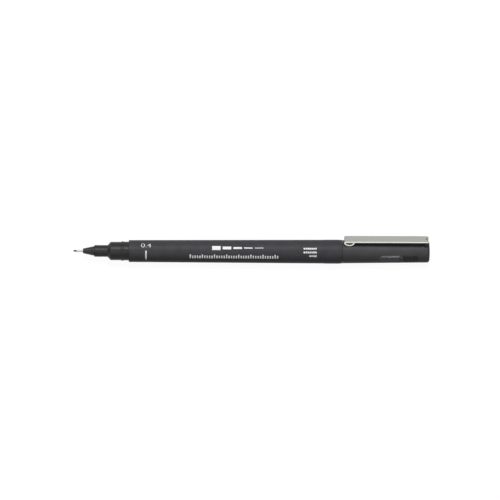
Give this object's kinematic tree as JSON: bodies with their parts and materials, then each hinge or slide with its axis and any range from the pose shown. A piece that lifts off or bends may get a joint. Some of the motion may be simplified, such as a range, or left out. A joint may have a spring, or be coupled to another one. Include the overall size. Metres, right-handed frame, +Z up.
{
  "type": "fineliner pen",
  "caption": "Slim fibre-reservoir drawing pen with a steel-sleeved nib and its cap, with a sprung steel clip, posted on the tail.",
  "frame": {"origin": "middle of the pen's length, on the surface that its widest ring lies on", "axes": "+X along the pen from the nib to the posted cap's end, +Z up, +Y across to the back, towards which the clip leans by 26 degrees from upright"},
  "size_m": [0.147, 0.01, 0.0123],
  "materials": {
    "nib_fibre": "inked fibre",
    "bright_steel": "drawn, bright",
    "gloss_black": "semi-gloss",
    "satin_black": "satin",
    "charcoal": "fine matte",
    "cap_charcoal": "satin",
    "inner_seal": "soft satin",
    "inked_fibre": "ink-soaked fibre",
    "clear_film": "thin clear film",
    "satin_steel": "satin"
  },
  "bodies": {
    "pen": {"barrel": "charcoal", "front_section": "satin_black", "tip_cone": "gloss_black", "nib_sleeve": "bright_steel", "nib": "nib_fibre", "feed_wick": "inked_fibre", "ink_reservoir": "inked_fibre", "reservoir_film": "clear_film", "tail_plug": "charcoal"},
    "cap": {"cap_shell": "cap_charcoal", "inner_cap": "inner_seal", "cap_crown": "cap_charcoal"},
    "clip": {"clip": "satin_steel"}
  },
  "joints": [
    {"name": "cap_slide", "type": "slide", "parent": "pen", "child": "cap", "axis": [1, 0, 0], "range_m": [0, 0.02]},
    {"name": "clip_flex", "type": "hinge", "parent": "cap", "child": "clip", "pos_m": [0.07288, 0.00297, 0.01105], "axis": [0, 0.8988, -0.4384], "range_deg": [0, 5], "stiffness_Nm_per_rad": 0.8}
  ]
}
